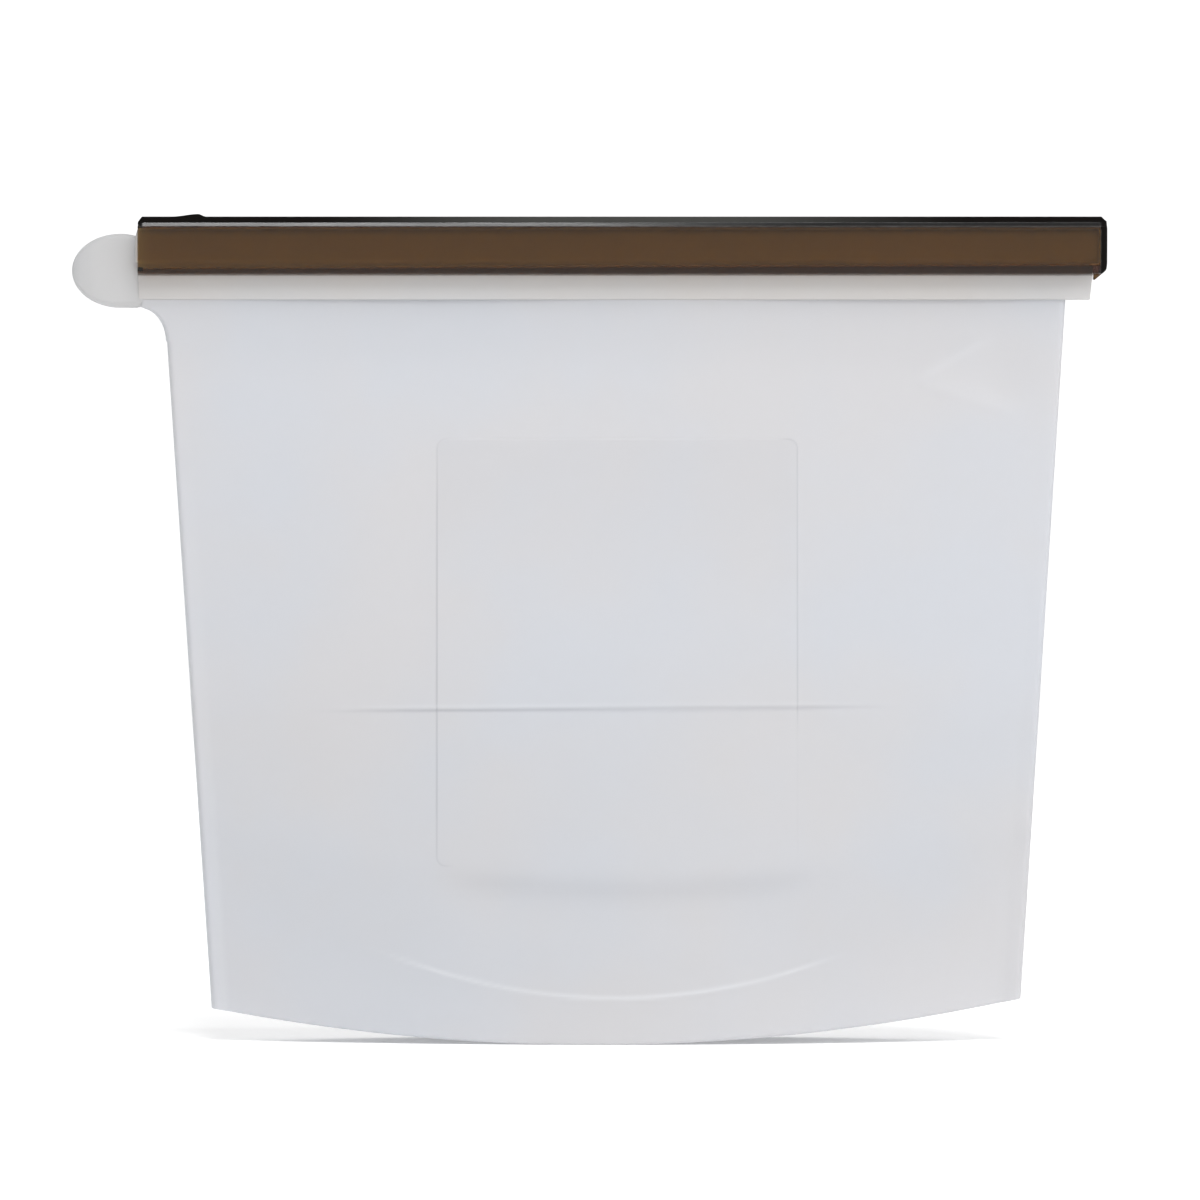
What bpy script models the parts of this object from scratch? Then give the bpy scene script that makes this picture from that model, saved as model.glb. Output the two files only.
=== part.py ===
"""Reusable silicone stand-up bag with a sliding closure bar, modelled at rest: closed, empty and standing.

Metres, +Z up, front towards -Y. The origin is the middle of the bounding box's bottom face.
The bag is one silicone moulding. It is drawn as the zones that move against each other, 0.3 mm apart.
"""

import math

import bmesh
import bpy
from mathutils import Vector

MM = 0.001
GAP = 0.3 * MM

# The bag's outline, seen from the front
MIDDLE_X = 4.5 * MM
TOP_HALF_WIDTH = 79.0 * MM
BOTTOM_HALF_WIDTH = 70.9 * MM
CORNER_Z = 7.0 * MM
MOUTH_Z = 129.9 * MM

# The bag's depth: flat at the mouth, and a lens 24 mm deep where it stands
TOP_HALF_DEPTH = 1.45 * MM
SEAM_HALF_DEPTH = 2.35 * MM
SEAM_FULL_Z = 60.0 * MM
STANDING_HALF_DEPTH = 12.0 * MM
BELLY_POWER = 1.2
WALL = 1.0 * MM
SEAM_WIDTH = 3.0 * MM

# The gusset: a sheet folded up into the bag, fused to the walls below a round arc
FOLD_Z = 58.3 * MM
ARC_Z = 8.0 * MM
ARC_RADIUS = 109.0 * MM
LEAF = 0.8 * MM
LEAF_TOP_Y = 0.65 * MM
LEAF_CLEARANCE = 1.2 * MM
FOOT = 2.0 * MM

# The lips: a bead in the bar, a neck in its slot and a thicker band under it
LIP_LEFT = -78.9 * MM
LIP_RIGHT = 88.0 * MM
LIP_INNER = 0.15 * MM
BAND_TOP = 134.1 * MM
BAND_OUTER = 2.0 * MM

# The closure bar, a C channel
BAR_LEFT = -78.9 * MM
BAR_RIGHT = 88.6 * MM
BAR_BOTTOM = 134.4 * MM
BAR_TOP = 144.4 * MM
BAR_HALF_DEPTH = 4.5 * MM
BAR_WALL = 1.25 * MM
BAR_LIP = 1.4 * MM
BAR_ROOF = 1.8 * MM
SLOT_HALF_WIDTH = 1.75 * MM
BAR_CORNER = 0.9 * MM
THUMB_RIDGE = 0.45 * MM
STOP_END = 90.65 * MM

# The pull tab at the bar's open end
TAB_PIVOT_X = -80.95 * MM
TAB_CENTRE_X = -82.15 * MM
TAB_HALF_LENGTH = 8.5 * MM
TAB_MIDDLE_Z = 135.0 * MM
TAB_HALF_HEIGHT = 6.5 * MM
TAB_HALF_THICKNESS = 1.75 * MM
TAB_EDGE = 1.0 * MM

# The fillet under the tab, where the bag's left edge turns out to meet it
FILLET_WIDTH = 4.7 * MM
FILLET_HEIGHT = 6.0 * MM
FILLET_TOP = 128.5 * MM


def clear_scene():
    for thing in list(bpy.data.objects):
        bpy.data.objects.remove(thing)


def principled(name, colour, roughness, transmission):
    material = bpy.data.materials.new(name)
    material.use_nodes = True
    shader = material.node_tree.nodes["Principled BSDF"]
    shader.inputs["Base Color"].default_value = (*colour, 1.0)
    shader.inputs["Roughness"].default_value = roughness
    shader.inputs["Metallic"].default_value = 0.0
    shader.inputs["Transmission Weight"].default_value = transmission
    return material


def joint_empty(name, at):
    empty = bpy.data.objects.new(name, None)
    empty.empty_display_size = 10 * MM
    empty.location = at
    bpy.context.scene.collection.objects.link(empty)
    return empty


def add_object(name, mesh_edit, material, parent):
    """Turns a bmesh in world coordinates into an object whose origin is its parent empty."""
    bmesh.ops.recalc_face_normals(mesh_edit, faces=mesh_edit.faces)
    bmesh.ops.translate(mesh_edit, verts=mesh_edit.verts, vec=-parent.location)
    mesh = bpy.data.meshes.new(name)
    mesh_edit.to_mesh(mesh)
    mesh_edit.free()
    mesh.materials.append(material)
    mesh.shade_smooth()
    mesh.set_sharp_from_angle(angle=math.radians(35))
    thing = bpy.data.objects.new(name, mesh)
    thing.parent = parent
    bpy.context.scene.collection.objects.link(thing)
    return thing


def loft(rings):
    """A closed solid through rings of equally many points, capped at both ends."""
    solid = bmesh.new()
    loops = [[solid.verts.new(point) for point in ring] for ring in rings]
    for near, far in zip(loops, loops[1:]):
        for i in range(len(near)):
            j = (i + 1) % len(near)
            solid.faces.new((near[i], near[j], far[j], far[i]))
    solid.faces.new(loops[0])
    solid.faces.new(loops[-1])
    return solid


def slab(across, up, outer, inner):
    """A sheet with two skins: outer(u, v) and inner(u, v) give points, with u and v from 0 to 1."""
    solid = bmesh.new()
    skins = []
    for surface in (outer, inner):
        rows = []
        for j in range(up + 1):
            rows.append([solid.verts.new(surface(i / across, j / up)) for i in range(across + 1)])
        skins.append(rows)
    for rows in skins:
        for low, high in zip(rows, rows[1:]):
            for i in range(across):
                solid.faces.new((low[i], low[i + 1], high[i + 1], high[i]))
    front, back = skins
    for j in range(up):
        for i in (0, across):
            solid.faces.new((front[j][i], front[j + 1][i], back[j + 1][i], back[j][i]))
    for i in range(across):
        for j in (0, up):
            solid.faces.new((front[j][i], front[j][i + 1], back[j][i + 1], back[j][i]))
    return solid


def arc(centre, radius, start, end, steps):
    """Points of a circle from one angle in degrees to another."""
    angles = [math.radians(start + (end - start) * i / steps) for i in range(steps + 1)]
    return [(centre[0] + radius * math.cos(a), centre[1] + radius * math.sin(a)) for a in angles]


def mix(a, b, share):
    return a + (b - a) * share


def half_width(z):
    """From the bag's middle to its side edge, which leans in towards the bottom."""
    share = (z - CORNER_Z) / (MOUTH_Z - CORNER_Z)
    return mix(BOTTOM_HALF_WIDTH, TOP_HALF_WIDTH, share)


def panel_half_width(z):
    """From the bag's middle to where a wall meets the side seam."""
    return half_width(z) - SEAM_WIDTH


def seam_half_depth(z):
    """The seam holds two layers at the mouth, and four from the gusset's fold down."""
    share = min(1.0, (MOUTH_Z - z) / (MOUTH_Z - SEAM_FULL_Z))
    return mix(TOP_HALF_DEPTH, SEAM_HALF_DEPTH, share)


def half_depth(x, z):
    """From the bag's middle plane to the outer face of a wall."""
    across = (x - MIDDLE_X) / panel_half_width(z)
    lens = max(0.0, 1.0 - across * across)
    belly = max(0.0, (MOUTH_Z - z) / MOUTH_Z) ** BELLY_POWER
    return seam_half_depth(z) + (STANDING_HALF_DEPTH - SEAM_HALF_DEPTH) * lens * belly


def bottom_z(x):
    """The bottom edge is a shallow arc, lowest in the middle, with a short flat to stand on."""
    flat = BOTTOM_HALF_WIDTH / 7
    away = max(0.0, abs(x - MIDDLE_X) - flat)
    return CORNER_Z * (away / (BOTTOM_HALF_WIDTH - flat)) ** 2


def arc_z(x):
    """The arc that the gusset is fused along."""
    return ARC_Z + ARC_RADIUS - math.sqrt(ARC_RADIUS**2 - (x - MIDDLE_X) ** 2)


def panel_point(side, u, v, low, high, inset):
    """A point of a wall or foot between the heights low(x) and high(x), inset from its outer face."""
    share = 2 * u - 1
    x = MIDDLE_X + share * panel_half_width(CORNER_Z)
    for _ in range(4):
        z = mix(low(x), high(x), v)
        x = MIDDLE_X + share * (panel_half_width(z) - GAP)
    return Vector((x, side * (half_depth(x, z) - inset), z))


def wall_solid(side):
    def skin(inset):
        return lambda u, v: panel_point(
            side, u, v, lambda x: arc_z(x) + GAP, lambda x: MOUTH_Z - GAP, inset
        )

    return slab(20, 14, skin(0.0), skin(WALL))


def foot_solid(side):
    def skin(inset):
        return lambda u, v: panel_point(side, u, v, bottom_z, arc_z, inset)

    return slab(28, 3, skin(0.0), skin(FOOT))


def leaf_mid_y(x, z):
    """The gusset leaf's mid plane: upright at the fold, and on the foot's inner half at the arc."""
    low = arc_z(x)
    drop = (FOLD_Z - z) / (FOLD_Z - low)
    return mix(LEAF_TOP_Y, half_depth(x, low) - FOOT + LEAF / 2, drop)


def leaf_solid(side):
    def skin(offset):
        def point(u, v):
            share = 2 * u - 1
            x = MIDDLE_X + share * panel_half_width(FOLD_Z)
            for _ in range(4):
                z = mix(arc_z(x) + LEAF_CLEARANCE, FOLD_Z, v)
                x = MIDDLE_X + share * (panel_half_width(z) - LEAF_CLEARANCE)
            return Vector((x, side * (leaf_mid_y(x, z) + offset), z))

        return point

    return slab(20, 6, skin(LEAF / 2), skin(-LEAF / 2))


def left_edge(z):
    """The left side edge, with the fillet that turns it out to the pull tab."""
    edge = MIDDLE_X - half_width(z)
    rise = (z - (FILLET_TOP - FILLET_HEIGHT)) / FILLET_HEIGHT
    if rise <= 0:
        return edge
    return min(edge, LIP_LEFT + FILLET_WIDTH * math.sqrt(max(0.0, 1.0 - rise * rise)))


def right_edge(z):
    return MIDDLE_X + half_width(z)


def seam_solid(edge, side):
    """The fused strip along one side edge: side is -1 on the left and 1 on the right."""

    def skin(front):
        def point(u, v):
            height = 1.0 - (1.0 - v) ** 1.5
            x = edge(CORNER_Z)
            for _ in range(4):
                z = mix(bottom_z(x), MOUTH_Z - GAP, height)
                x = mix(edge(z), MIDDLE_X + side * panel_half_width(z), u)
            return Vector((x, front * seam_half_depth(z), z))

        return point

    return slab(2, 24, skin(-1), skin(1))


def lip_section(side):
    bead_outer = BAR_HALF_DEPTH - BAR_WALL - GAP
    bead_bottom = BAR_BOTTOM + BAR_LIP + GAP
    bead_top = BAR_TOP - BAR_ROOF - GAP
    neck = SLOT_HALF_WIDTH - GAP
    round_over = 1.2 * MM
    section = [(LIP_INNER, MOUTH_Z), (BAND_OUTER, MOUTH_Z), (BAND_OUTER, BAND_TOP)]
    section += [(neck, BAND_TOP), (neck, bead_bottom)]
    section += arc((bead_outer - round_over, bead_bottom + round_over), round_over, -90, 0, 4)
    section += arc((bead_outer - round_over, bead_top - round_over), round_over, 0, 90, 4)
    section += [(LIP_INNER, bead_top)]
    return [(side * y, z) for y, z in section]


def lip_solid(side):
    return loft([[(x, y, z) for y, z in lip_section(side)] for x in (LIP_LEFT, LIP_RIGHT)])


def bar_section(rise):
    """The C channel's section. rise lifts or drops its top face."""
    w, r = BAR_HALF_DEPTH, BAR_CORNER
    top = BAR_TOP + rise
    half = [(SLOT_HALF_WIDTH, BAR_BOTTOM)]
    half += arc((w - r, BAR_BOTTOM + r), r, -90, 0, 4)
    half += arc((w - r, top - r), r, 0, 90, 4)
    inner = [
        (w - BAR_WALL, BAR_TOP - BAR_ROOF),
        (w - BAR_WALL, BAR_BOTTOM + BAR_LIP),
        (SLOT_HALF_WIDTH, BAR_BOTTOM + BAR_LIP),
    ]
    mirrored = [(-y, z) for y, z in reversed(half)]
    far_inner = [(-y, z) for y, z in reversed(inner)]
    return half + mirrored + far_inner + inner


def bar_solid():
    """The bar has a chamfered open end and a low ridge on top, near that end, for the thumb."""
    chamfer = 0.9 * MM
    ridge_start = BAR_LEFT + 6.3 * MM
    ridge_top = BAR_LEFT + 10.6 * MM
    ridge_end = BAR_LEFT + 11.7 * MM
    stations = [
        (BAR_LEFT, -chamfer),
        (BAR_LEFT + chamfer, 0.0),
        (ridge_start, 0.0),
        (mix(ridge_start, ridge_top, 0.5), 0.35 * THUMB_RIDGE),
        (ridge_top, THUMB_RIDGE),
        (ridge_end, 0.0),
        (BAR_RIGHT, 0.0),
    ]
    return loft([[(x, y, z) for y, z in bar_section(rise)] for x, rise in stations])


def stop_section(inset_y, bottom, top):
    w, r = BAR_HALF_DEPTH - inset_y, BAR_CORNER
    section = arc((w - r, bottom + r), r, -90, 0, 4)
    section += arc((w - r, top - r), r, 0, 90, 4)
    return section + [(-y, z) for y, z in reversed(section)]


def stop_solid():
    """The plate that closes the bar's right end, bowed outwards."""
    start = BAR_RIGHT + GAP
    stations = [
        (start, 0.0, BAR_BOTTOM, BAR_TOP),
        (start + 0.7 * MM, 0.0, BAR_BOTTOM, BAR_TOP),
        (STOP_END - 0.25 * MM, 0.5 * MM, BAR_BOTTOM + 0.6 * MM, BAR_TOP - 0.7 * MM),
        (STOP_END, 1.6 * MM, BAR_BOTTOM + 2.6 * MM, BAR_TOP - 3.0 * MM),
    ]
    return loft([[(x, y, z) for y, z in stop_section(*shape)] for x, *shape in stations])


def toe_solid():
    """A small wedge under the plate, that guides the bag's lips into the slot."""
    depth = SLOT_HALF_WIDTH - GAP
    low, high = BAR_BOTTOM - 1.0 * MM, BAR_BOTTOM + 1.0 * MM
    outline = [(88.4 * MM, low), (88.8 * MM, low), (90.2 * MM, BAR_BOTTOM + 0.4 * MM), (90.2 * MM, high)]
    outline += [(89.2 * MM, high), (89.2 * MM, BAR_BOTTOM), (88.4 * MM, BAR_BOTTOM - 0.3 * MM)]
    return loft([[(x, y, z) for x, z in outline] for y in (-depth, depth)])


def tab_solid():
    """The tab is a rounded tongue. Its root is round too, so that it can bend past the bar's end."""
    root = TAB_PIVOT_X
    solid = bmesh.new()
    rings = []
    tip = [
        (TAB_CENTRE_X + TAB_HALF_LENGTH * x, TAB_MIDDLE_Z + TAB_HALF_HEIGHT * z)
        for x, z in arc((0, 0), 1.0, 90, 270, 24)
    ]
    outline = [(root, TAB_MIDDLE_Z + TAB_HALF_HEIGHT)] + tip + [(root, TAB_MIDDLE_Z - TAB_HALF_HEIGHT)]
    middle = Vector((root, 0, TAB_MIDDLE_Z))
    for depth, inset in (
        (-TAB_HALF_THICKNESS, TAB_EDGE),
        (-TAB_HALF_THICKNESS + 0.3 * MM, 0.3 * TAB_EDGE),
        (-TAB_HALF_THICKNESS + TAB_EDGE, 0.0),
        (TAB_HALF_THICKNESS - TAB_EDGE, 0.0),
        (TAB_HALF_THICKNESS - 0.3 * MM, 0.3 * TAB_EDGE),
        (TAB_HALF_THICKNESS, TAB_EDGE),
    ):
        reach = 1.0 - inset / TAB_HALF_HEIGHT
        swing = math.sqrt(TAB_HALF_THICKNESS**2 - depth**2)
        ring = [solid.verts.new((root + swing, depth, TAB_MIDDLE_Z - TAB_HALF_HEIGHT * reach))]
        ring.append(solid.verts.new((root + swing, depth, TAB_MIDDLE_Z + TAB_HALF_HEIGHT * reach)))
        for x, z in outline:
            point = middle + (Vector((x, 0, z)) - middle) * reach
            ring.append(solid.verts.new((point.x, depth, point.z)))
        rings.append(ring)
    for near, far in zip(rings, rings[1:]):
        for i in range(len(near)):
            j = (i + 1) % len(near)
            solid.faces.new((near[i], near[j], far[j], far[i]))
    solid.faces.new(rings[0])
    solid.faces.new(rings[-1])
    bmesh.ops.remove_doubles(solid, verts=solid.verts, dist=0.01 * MM)
    return solid


clear_scene()
silicone = principled("milky_silicone", (0.66, 0.66, 0.68), 0.45, 0.2)
smoked_plastic = principled("smoked_brown_plastic", (0.09, 0.055, 0.035), 0.22, 0.4)

bag = joint_empty("bag_frame", (0, 0, 0))
bar = joint_empty("bar_slide_axis", (0, 0, (BAR_BOTTOM + BAR_TOP) / 2))
tab = joint_empty("tab_bend_axis", (TAB_PIVOT_X, 0, TAB_MIDDLE_Z))

add_object("slide_bar", bar_solid(), smoked_plastic, bar)
end_stop = add_object("bar_end_stop", stop_solid(), smoked_plastic, bar)
toe = add_object("bar_end_toe", toe_solid(), smoked_plastic, bar)
toe.hide_render = True
toe.display_type = "WIRE"
joined = end_stop.modifiers.new("toe", "BOOLEAN")
joined.operation = "UNION"
joined.object = toe

add_object("pull_tab", tab_solid(), silicone, tab)
add_object("left_seam", seam_solid(left_edge, -1), silicone, bag)
add_object("right_seam", seam_solid(right_edge, 1), silicone, bag)

hinge_y = TOP_HALF_DEPTH - WALL / 2
hinge_z = MOUTH_Z - GAP
fold_z = ARC_Z + LEAF_CLEARANCE
fold_y = leaf_mid_y(MIDDLE_X, fold_z)
for word, side in (("front", -1), ("back", 1)):
    panel = joint_empty(word + "_belly_axis", (0, side * hinge_y, hinge_z))
    leaf = joint_empty(word + "_gusset_axis", (0, side * fold_y, fold_z))
    add_object(word + "_lip", lip_solid(side), silicone, bag)
    add_object(word + "_wall", wall_solid(side), silicone, panel)
    add_object(word + "_foot", foot_solid(side), silicone, panel)
    add_object("gusset_" + word, leaf_solid(side), silicone, leaf)
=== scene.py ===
import math

import bmesh
import bpy
import numpy as np
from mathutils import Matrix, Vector


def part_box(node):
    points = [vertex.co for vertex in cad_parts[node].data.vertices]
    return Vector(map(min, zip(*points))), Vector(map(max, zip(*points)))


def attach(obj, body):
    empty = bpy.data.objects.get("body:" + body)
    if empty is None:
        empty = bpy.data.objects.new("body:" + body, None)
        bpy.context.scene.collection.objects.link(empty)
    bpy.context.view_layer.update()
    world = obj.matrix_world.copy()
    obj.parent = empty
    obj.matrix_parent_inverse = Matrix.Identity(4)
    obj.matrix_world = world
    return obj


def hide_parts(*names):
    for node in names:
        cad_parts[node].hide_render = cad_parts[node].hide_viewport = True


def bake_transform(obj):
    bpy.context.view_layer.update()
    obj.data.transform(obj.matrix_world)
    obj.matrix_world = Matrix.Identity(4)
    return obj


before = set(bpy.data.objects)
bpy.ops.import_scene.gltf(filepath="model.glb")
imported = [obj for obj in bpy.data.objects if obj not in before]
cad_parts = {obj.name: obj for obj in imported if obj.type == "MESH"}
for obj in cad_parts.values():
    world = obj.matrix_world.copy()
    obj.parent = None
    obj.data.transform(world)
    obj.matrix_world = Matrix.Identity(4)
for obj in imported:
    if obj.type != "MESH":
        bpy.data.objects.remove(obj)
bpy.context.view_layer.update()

mm = 0.001


# ---------------------------------------------------------------------------------------------
# Closure bar. A C channel of smoke-brown clear plastic with a closed right end, moulded in one.
# It slides over the two silicone beads and pinches them. Where it is seen edge-on, its darkness is painted
# shade.
# ---------------------------------------------------------------------------------------------

bar_low, bar_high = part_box("slide_bar")
stop_low, stop_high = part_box("bar_end_stop")
thumb_ridge = 0.45 * mm
ridge_foot, ridge_crest, ridge_end = 6.0 * mm, 10.6 * mm, 11.9 * mm
bar_top = bar_high.z - thumb_ridge
bar_bottom = bar_low.z
bar_half = bar_high.y
side_wall = 1.25 * mm
roof = 1.8 * mm
open_end_lip, closed_end_lip = 0.95 * mm, 1.55 * mm
slot_half = 1.75 * mm
cap_inset = 0.6 * mm
cap_height = 1.05 * mm
shoulder_height = 0.7 * mm
end_wall = 1.2 * mm
end_bow = 0.9 * mm
end_side_round, end_top_round = 0.45 * mm, 0.35 * mm
end_foot_cut = 0.65 * mm
open_corner_cut, closed_corner_cut = 0.95 * mm, 0.67 * mm
smoke = (0.718, 0.575, 0.15)
smoke_density = 2000.0


def rising(low, high, value):
    """0 below low, 1 above high, and a straight rise between, for numbers and arrays alike."""
    return np.clip((value - low) / (high - low), 0.0, 1.0)


def ease(low, high, value):
    """0 below low, 1 above high, and a smooth rise between, for numbers and arrays alike."""
    share = rising(low, high, value)
    return share * share * (3 - 2 * share)


def rounded(corners, steps=6):
    """An outline through (y, z, radius) corners, each turned into an arc of steps + 1 points."""
    outline = []
    for i, (y, z, radius) in enumerate(corners):
        here = Vector((y, z))
        before = (Vector(corners[i - 1][:2]) - here).normalized()
        after = (Vector(corners[(i + 1) % len(corners)][:2]) - here).normalized()
        half = before.angle(after) / 2
        centre = here + (before + after).normalized() * (radius / math.sin(half))
        first = (here + before * (radius / math.tan(half)) - centre).normalized()
        last = (here + after * (radius / math.tan(half)) - centre).normalized()
        outline += [centre + first.slerp(last, k / steps) * radius for k in range(steps + 1)]
    return outline


def ridge_rise(x):
    """The thumb ridge climbs slowly from the open end and drops off quickly."""
    along = x - bar_low.x
    return thumb_ridge * ease(ridge_foot, ridge_crest, along) * (1 - ease(ridge_crest, ridge_end, along))


def end_drop(x):
    """The top corners of both ends are cut off at a slant."""
    open_slope, closed_slope = 1.3, 0.85
    closed_start = stop_high.x - 1.08 * mm
    at_open_end = open_corner_cut - open_slope * (x - bar_low.x)
    at_closed_end = min(closed_slope * (x - closed_start), closed_corner_cut)
    return max(0.0, at_open_end, at_closed_end)


def bar_section(x, inset):
    """The channel's outline at x: round the outside from the slot's right lip, and back inside."""
    w, inner = bar_half - inset, bar_half - side_wall + inset
    along = (x - bar_low.x) / (stop_high.x - bar_low.x)
    lip = open_end_lip + (closed_end_lip - open_end_lip) * along
    slot, lip_top = slot_half + inset, bar_bottom + lip - inset
    shoulder = bar_top - cap_height - shoulder_height
    right = [
        (slot, bar_bottom + inset, 0.3 * mm),
        (w, bar_bottom + inset, 0.25 * mm),
        (w, shoulder, 0.25 * mm),
        (w - cap_inset, bar_top - cap_height, 0.15 * mm),
        (w - cap_inset, bar_top - inset, 0.2 * mm),
    ]
    inside = [
        (inner, bar_top - roof + inset, 0.35 * mm),
        (inner, lip_top, 0.3 * mm),
        (slot, lip_top, 0.3 * mm),
    ]
    left = [(-y, z, r) for y, z, r in reversed(right)]
    left += [(-y, z, r) for y, z, r in reversed(inside)]
    outline = rounded(right + left + inside)

    # More points up both faces and across the top, where the plastic's painted darkness changes
    crown = bar_half - cap_inset - 0.5 * mm
    top = [Vector((crown * (1 - k / 4), bar_top - inset)) for k in range(9)]
    face = [Vector((w, z)) for z in (lip_top - 0.12 * mm, lip_top + 0.12 * mm, shoulder - 0.3 * mm)]
    other_face = [Vector((-p.x, p.y)) for p in reversed(face)]
    per_corner = 7
    lip_foot, first_top, last_face, outside_end = (n * per_corner for n in (2, 5, 8, 10))
    outer = outline[:lip_foot] + face + outline[lip_foot:first_top] + top
    outer += outline[first_top:last_face] + other_face + outline[last_face:outside_end]
    for p in outer:
        p.y += ridge_rise(x) * rising(bar_top - 0.45 * mm, bar_top - 0.05 * mm, p.y)
        p.y -= end_drop(x) * rising(shoulder, bar_top, p.y)
    return [[Vector((x, p.x, p.y)) for p in part] for part in (outer, outline[outside_end:])]


def skin_between(mesh, near, far):
    """Quads between two closed rows of vertices."""
    count = len(near)
    for i in range(count):
        j = (i + 1) % count
        mesh.faces.new((near[i], near[j], far[j], far[i]))


def new_object(name, data):
    """Puts a mesh, a lamp or a camera in the scene."""
    thing = bpy.data.objects.new(name, data)
    bpy.context.scene.collection.objects.link(thing)
    return thing


def finish_mesh(name, mesh, sharp=40):
    """Turns a closed bmesh into an object with smooth faces that point outwards."""
    bmesh.ops.recalc_face_normals(mesh, faces=mesh.faces)
    data = bpy.data.meshes.new(name)
    mesh.to_mesh(data)
    mesh.free()
    data.shade_smooth()
    data.set_sharp_from_angle(angle=math.radians(sharp))
    return new_object(name, data)


def build_bar():
    """The channel's sections, close together where the corner is cut and where the ridge rises."""
    wall_start = stop_high.x - end_wall
    ridge_past = bar_low.x + 13 * mm
    stations = [(bar_low.x, 0.14 * mm), (bar_low.x + 0.05 * mm, 0.04 * mm)]
    stations += [(bar_low.x + (0.14 + 0.2 * k) * mm, 0.0) for k in range(6)]
    stations += [(bar_low.x + (5.5 + 0.35 * k) * mm, 0.0) for k in range(20)]
    stations += [(ridge_past + (wall_start - ridge_past) * k / 12, 0.0) for k in range(13)]

    # How dark the outside is painted, as painted shade where the smoky plastic is seen edge-on: the slot's
    # lip, the face, the shoulder, the cap, half of the top
    painted_darkness = [0.07] * 14
    painted_darkness += [0.16, 0.0, 0.1]
    painted_darkness += [0.6] * 3 + [1.0] * 8
    painted_darkness += [2.0] * 10
    painted_darkness += [1.2, 0.9, 0.8, 0.8, 0.8]
    mesh = bmesh.new()
    painted_dark = mesh.verts.layers.float.new("painted_dark")
    outers, inners = [], []
    for x, inset in stations:
        outside, inside = bar_section(x, inset)
        outers.append([mesh.verts.new(p) for p in outside])
        for i, vertex in enumerate(outers[-1]):
            vertex[painted_dark] = painted_darkness[min(i, len(outers[-1]) - 1 - i)]
        inners.append([mesh.verts.new(p) for p in inside])
    for k in range(len(stations) - 1):
        skin_between(mesh, outers[k] + inners[k], outers[k + 1] + inners[k + 1])
    mesh.faces.new(outers[0] + inners[0])
    mesh.faces.new([outers[-1][-1]] + inners[-1] + [outers[-1][0]])

    # The end wall closes the slot too, swells a little at mid-height, and is rounded at its edges
    last = outers[-1]
    round_from = 0.76
    foot_slope, foot_start, foot_reach = 0.83, stop_high.x - 1.05 * mm, 1.5 * mm
    for share in (0.12, 0.25, 0.4, 0.55, 0.68, 0.76, 0.82, 0.88, 0.93, 0.97, 1.0):
        turn = max(0.0, (share - round_from) / (1 - round_from))
        tuck = 1 - math.sqrt(1 - turn * turn)
        ring = []
        for p in bar_section(wall_start + end_wall * share, 0.0)[0]:
            height = (p.z - bar_bottom) / (bar_top - bar_bottom)
            p.x -= end_bow * (height - 0.5) ** 2 * share
            p.y -= math.copysign(min(end_side_round * tuck, abs(p.y)), p.y)
            p.z += end_top_round * tuck * (1 - 2 * height)
            foot_cut = min(max(0.0, foot_slope * (p.x - foot_start)), end_foot_cut)
            p.z += foot_cut * max(0.0, 1 - (p.z - bar_bottom) / foot_reach)
            ring.append(mesh.verts.new(p))
            # The end wall is painted nearly black, as shade
            ring[-1][painted_dark] = 2.0
        skin_between(mesh, last, ring)
        last = ring
    mesh.faces.new(last)
    return finish_mesh("closure_bar", mesh)


def build_block(name, outline, front, back, painted_darkness):
    """A block with an (x, z) outline, its front and back edges rounded off."""
    mesh = bmesh.new()
    painted_dark = mesh.verts.layers.float.new("painted_dark")
    centre = sum(outline, Vector((0, 0))) / len(outline)
    edge, edge_scale = 0.12 * mm, 0.85
    rings = []
    for y, scale in ((front, edge_scale), (front + edge, 1.0), (back - edge, 1.0), (back, edge_scale)):
        ring = [centre + (p - centre) * scale for p in outline]
        rings.append([mesh.verts.new((p.x, y, p.y)) for p in ring])
    for near, far in zip(rings, rings[1:]):
        skin_between(mesh, near, far)
    mesh.faces.new(rings[0])
    mesh.faces.new(rings[-1])
    for vertex in mesh.verts:
        vertex[painted_dark] = painted_darkness
    return finish_mesh(name, mesh, sharp=30)


def build_toe():
    """A wedge under the closed end, moulded with it, that leads the lips in."""
    half_depth = slot_half - 0.35 * mm
    left, tip = stop_low.x - 0.1 * mm, stop_high.x - 0.4 * mm
    outline = [
        Vector((left, stop_low.z)),
        Vector((left + 0.25 * mm, stop_low.z)),
        Vector((tip, bar_bottom + 0.4 * mm)),
        Vector((tip, bar_bottom + 0.9 * mm)),
        Vector((stop_high.x - end_wall + 0.2 * mm, bar_bottom + 0.9 * mm)),
        Vector((left, bar_bottom - 0.1 * mm)),
    ]
    # The toe is painted darker than the bar's face, as shade
    return build_block("bar_toe", outline, -half_depth, half_depth, 0.6)


def build_groove_shade():
    """A dark square block in the front lip's corner at the open end: painted shade where the lip's inner
    groove shows.
    """
    left, low = bar_low.x + 0.04 * mm, bar_bottom + 0.42 * mm
    wide, high = 0.9 * mm, 0.72 * mm
    corners = ((0, 0), (wide, 0), (wide, high), (0, high))
    outline = [Vector((left + dx, low + dz)) for dx, dz in corners]
    return build_block("bar_groove_shade", outline, -bar_half - 0.04 * mm, -bar_half + 0.6 * mm, 1.0)


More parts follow.
